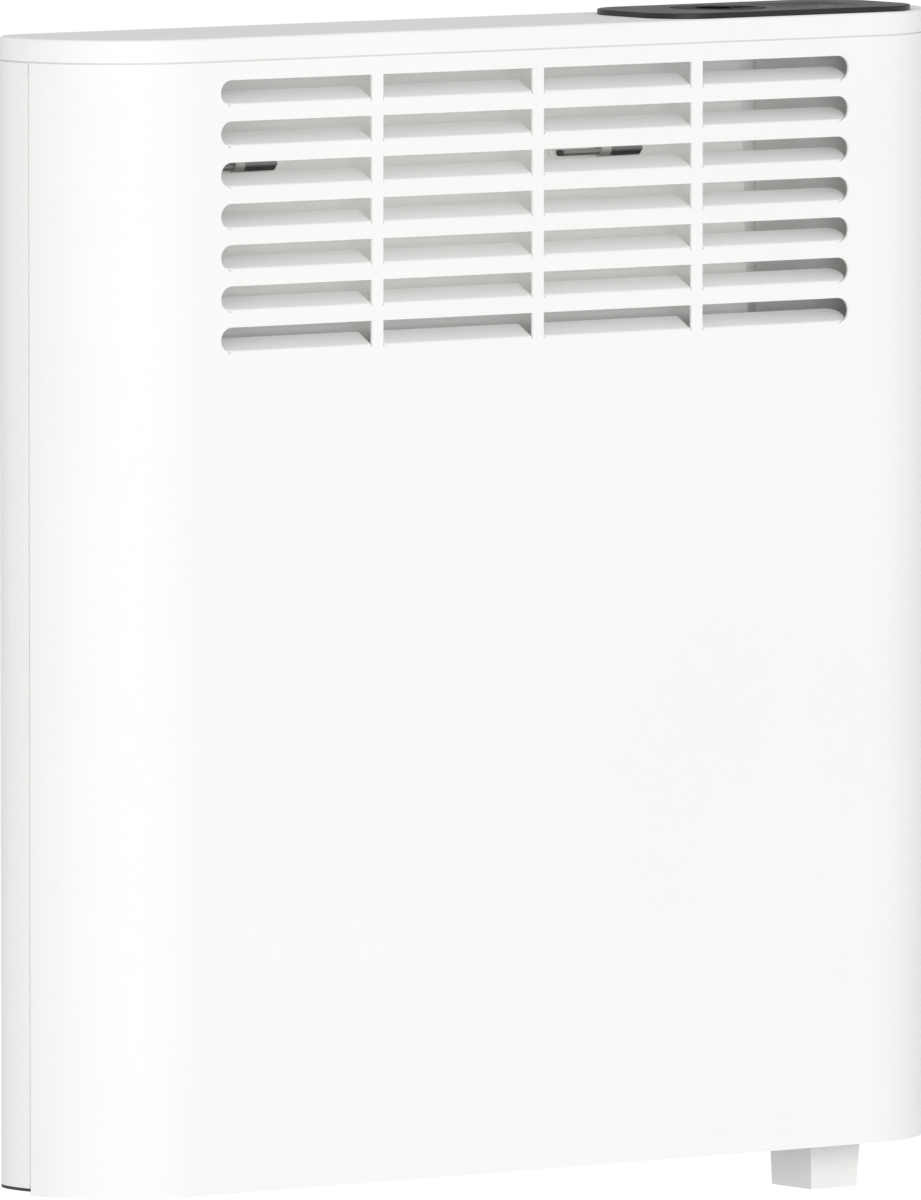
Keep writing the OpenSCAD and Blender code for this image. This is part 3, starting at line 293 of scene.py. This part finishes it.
def painted_top_light_sleeving(name, base, top_light_colour, lo=-0.15, hi=0.45, rough=0.5):
    """Dark sleeving made paler on whatever faces up as painted top light, broken up by a fine noise."""
    m = Mat(name)
    geo = m.n("ShaderNodeNewGeometry")
    sep = m.n("ShaderNodeSeparateXYZ")
    m.link(geo.outputs["Normal"], sep.inputs[0])
    f = m.noise(m.mapping(), 900.0, 3.0)
    # painted light: the upward-facing side is lightened to stand in for light from above
    up = m.math("MULTIPLY", m.rng(sep.outputs["Z"], 0.0, 1.0, lo, hi), m.rng(f, 0.8, 1.0))
    m.color(m.mix(up, base, top_light_colour))
    m.rough(m.rng(f, rough, rough + 0.15))
    m.normal(m.bump(f, 0.00004, 0.4))
    return m.m


def limiter_material(name):
    """Grey insulated leads with a dark tip and a light ceramic collar at fixed shares of the length; lead and collar
    are painted paler on top and darker beneath as painted top light.
    """
    m = Mat(name)
    sep = m.n("ShaderNodeSeparateXYZ")
    m.link(m.co.outputs["Generated"], sep.inputs[0])
    a = m.math("GREATER_THAN", sep.outputs["X"], 0.4704)
    b = m.math("LESS_THAN", sep.outputs["X"], 0.5792)
    f = m.noise(m.mapping(), 700.0, 3.0)
    geo = m.n("ShaderNodeNewGeometry")
    nz = m.n("ShaderNodeSeparateXYZ")
    m.link(geo.outputs["Normal"], nz.inputs[0])
    # painted light: paler where the surface faces up, darker where it faces down, on both the lead and the collar
    up = m.rng(nz.outputs["Z"], 0.0, 1.0, -0.35, 0.35)
    lead = m.mix(up, (0.11, 0.108, 0.10), (0.43, 0.425, 0.41))
    lead = m.mix(m.rng(f, 0, 0.25), lead, (0.2, 0.2, 0.19))
    collar = m.mix(up, (0.24, 0.235, 0.22), (0.70, 0.69, 0.66))
    end = m.math("LESS_THAN", sep.outputs["X"], 0.052)
    back = m.math("GREATER_THAN", sep.outputs["Y"], 0.13)
    lead = m.mix(end, lead, (0.05, 0.05, 0.048))
    lead = m.mix(back, lead, (0.86, 0.86, 0.84))
    m.color(m.mix(m.math("MULTIPLY", a, b), lead, collar))
    m.rough(m.rng(f, 0.4, 0.55))
    m.normal(m.bump(f, 0.00004, 0.3))
    return m.m


sleeve_painted_top_light = painted_top_light_sleeving("sleeve_painted_top_light", (0.016, 0.016, 0.017), (0.36, 0.36, 0.35), -0.3, 0.3)
limiter_mat = limiter_material("limiter")
silicone_white = plastic("silicone_white", (0.90, 0.90, 0.88), 0.6, 900.0, 0.04)


def board_green(name):
    m = Mat(name)
    o = m.mapping()
    tr = m.n("ShaderNodeTexBrick")
    tr.inputs["Scale"].default_value = 130.0
    tr.inputs["Mortar Size"].default_value = 0.08
    tr.inputs["Color1"].default_value = (0.012, 0.10, 0.035, 1)
    tr.inputs["Color2"].default_value = (0.018, 0.13, 0.045, 1)
    tr.inputs["Mortar"].default_value = (0.03, 0.19, 0.07, 1)
    m.link(m.mapping(rot=(math.radians(90), 0, 0)), tr.inputs["Vector"])
    m.color(tr.outputs["Color"])
    m.rough(m.rng(m.noise(o, 60.0), 0.28, 0.4))
    m.normal(m.bump(tr.outputs["Fac"], 0.00003, 0.5))
    return m.m


green = board_green("solder_mask")


def glow_pipe(name):
    m = Mat(name)
    o = m.mapping()
    f = m.noise(o, 300.0)
    m.color(m.mix(m.rng(f, 0, 1), (0.55, 0.12, 0.07), (0.65, 0.2, 0.12)))
    m.rough(m.rng(f, 0.2, 0.3))
    m.set("Transmission Weight", 0.4)
    return m.m


pipe = glow_pipe("light_pipe")

FINISH = {
    "white_paint": white, "inner_white": inner_white, "white_plastic": white_pod, "panel_black": panel_black,
    "dial_black": dial_black, "button_black": button_black, "display_window": window_black,
    "dark_plastic": dark_plastic, "display_grey": display_grey, "component_black": component_black,
    "relay_blue": relay_blue, "winding_yellow": winding, "cutout_brown": cutout_brown,
    "terminal_white": terminal_white, "ceramic": ceramic, "latch_plastic": latch_red, "lead_white": lead_light,
    "lead_grey": lead_light, "lead_dark": lead_dark, "rubber_black": rubber, "bracket_steel": bracket,
    "inner_sheet": inner_steel, "zinc_steel": zinc, "fin_aluminium": fins, "sheath_steel": sheath, "brass": brass,
    "sleeve_black": sleeve, "circuit_board": green, "light_pipe": pipe,
}
for sp in frame["record"]["subparts"]:
    o = nodes[sp["node"]]
    o.data.materials.clear()
    o.data.materials.append(FINISH[sp["material_slot"]])
for name, mat in (("partition_plate", partition_white), ("limiter_sleeves", sleeve_painted_top_light), ("lead_grommets", silicone_white), ("outlet_limiter_left", limiter_mat), ("outlet_limiter_right", limiter_mat)):
    nodes[name].data.materials[0] = mat

# -------------------------------------------------------------------- stage
# the heater hangs at its wall height above the floor
FLOOR_Z = -0.95


def floor_material():
    m = Mat("floor_white")
    o = m.mapping()
    f = m.noise(o, 3.0, 4.0)
    g = m.noise(o, 240.0, 2.0)
    m.color(m.mix(m.rng(f, 0, 1), (0.90, 0.90, 0.895), (0.93, 0.93, 0.925)))
    m.rough(m.rng(f, 0.75, 0.85))
    m.normal(m.bump(g, 0.0001, 0.2))
    return m.m


def round_floor(radius=6.0, n=180):
    """Plain pale round floor; past its edge the studio's white surround begins."""
    verts = [(radius * math.cos(2 * math.pi * k / n), radius * math.sin(2 * math.pi * k / n), FLOOR_Z) for k in range(n)]
    me = bpy.data.meshes.new("floor")
    me.from_pydata(verts, [], [tuple(range(n))])
    o = bpy.data.objects.new("floor", me)
    bpy.context.scene.collection.objects.link(o)
    me.materials.append(floor_material())
    return o


floor = round_floor()

world = bpy.data.worlds.new("studio")
bpy.context.scene.world = world
world.use_nodes = True
wt = world.node_tree
bg = wt.nodes["Background"]
# even studio light, a little stronger on the left, with a white band round the horizon
w_co = wt.nodes.new("ShaderNodeTexCoord")
w_sep = wt.nodes.new("ShaderNodeSeparateXYZ")
w_rng = wt.nodes.new("ShaderNodeMapRange")
w_rng.inputs["From Min"].default_value = -1.0
w_rng.inputs["From Max"].default_value = 1.0
w_rng.inputs["To Min"].default_value = 0.56
w_rng.inputs["To Max"].default_value = 0.375
wt.links.new(w_co.outputs["Generated"], w_sep.inputs[0])
wt.links.new(w_sep.outputs["X"], w_rng.inputs["Value"])
w_half = wt.nodes.new("ShaderNodeMath")
w_half.operation = "MULTIPLY_ADD"
w_half.inputs[1].default_value = 0.5
w_half.inputs[2].default_value = 0.5
wt.links.new(w_sep.outputs["Z"], w_half.inputs[0])


def height_ramp(stops):
    """Strength by height above the horizon, 0 straight down to 1 straight up."""
    r = wt.nodes.new("ShaderNodeValToRGB")
    while len(r.color_ramp.elements) < len(stops):
        r.color_ramp.elements.new(0.5)
    for el, (pos, v) in zip(r.color_ramp.elements, stops):
        el.position = pos
        el.color = (v / 2, v / 2, v / 2, 1)
    wt.links.new(w_half.outputs[0], r.inputs["Fac"])
    m = wt.nodes.new("ShaderNodeMath")
    m.operation = "MULTIPLY"
    m.inputs[1].default_value = 2.0
    wt.links.new(r.outputs["Color"], m.inputs[0])
    return m.outputs[0]


w_mul = wt.nodes.new("ShaderNodeMath")
w_mul.operation = "MULTIPLY"
wt.links.new(w_rng.outputs["Result"], w_mul.inputs[0])
wt.links.new(height_ramp(((0.0, 0.9), (0.5, 1.0), (0.6, 1.25), (0.68, 1.37), (0.8, 1.37), (1.0, 1.36))), w_mul.inputs[1])
w_max = wt.nodes.new("ShaderNodeMath")
w_max.operation = "MAXIMUM"
wt.links.new(w_mul.outputs[0], w_max.inputs[0])
wt.links.new(height_ramp(((0.0, 0.0), (0.43, 0.0), (0.437, 1.04), (0.545, 1.04), (0.575, 0.0), (1.0, 0.0))), w_max.inputs[1])
wt.links.new(w_max.outputs[0], bg.inputs["Strength"])
bg.inputs["Color"].default_value = (1.0, 1.0, 1.0, 1)


def area(name, loc, target, size, power, color=(1, 1, 1), size_y=None):
    d = bpy.data.lights.new(name, "AREA")
    d.energy = power
    d.color = color
    d.size = size
    if size_y:
        d.shape = "RECTANGLE"
        d.size_y = size_y
    o = bpy.data.objects.new(name, d)
    bpy.context.scene.collection.objects.link(o)
    o.location = loc
    o.rotation_euler = (Vector(target) - Vector(loc)).to_track_quat("-Z", "Y").to_euler()
    return o


area("front", Vector((-0.39, -0.92, 0)) * 9.3 + Vector((0, 0, 1.6)), (0, 0, 0), 6.0, 288.0, (1, 1, 1), 4.8)

# ------------------------------------------------------------------- camera
cam_d = bpy.data.cameras.new("camera")
cam = bpy.data.objects.new("camera", cam_d)
bpy.context.scene.collection.objects.link(cam)
cam.location = P(-4895.2, -6562.1, 879.6)
yaw, pitch = math.radians(36.509), math.radians(-4.5747)
fwd = Vector((math.sin(yaw) * math.cos(pitch), math.cos(yaw) * math.cos(pitch), math.sin(pitch)))
cam.rotation_mode = "QUATERNION"
cam.rotation_quaternion = fwd.to_track_quat("-Z", "Y")
cam_d.sensor_fit = "AUTO"
cam_d.sensor_width = 36.0
cam_d.lens = 628.22
cam_d.clip_start, cam_d.clip_end = 0.5, 60.0
cam_d.dof.use_dof = False
bpy.context.scene.camera = cam
bpy.context.scene.view_settings.view_transform = "Standard"
bpy.context.scene.view_settings.look = "None"
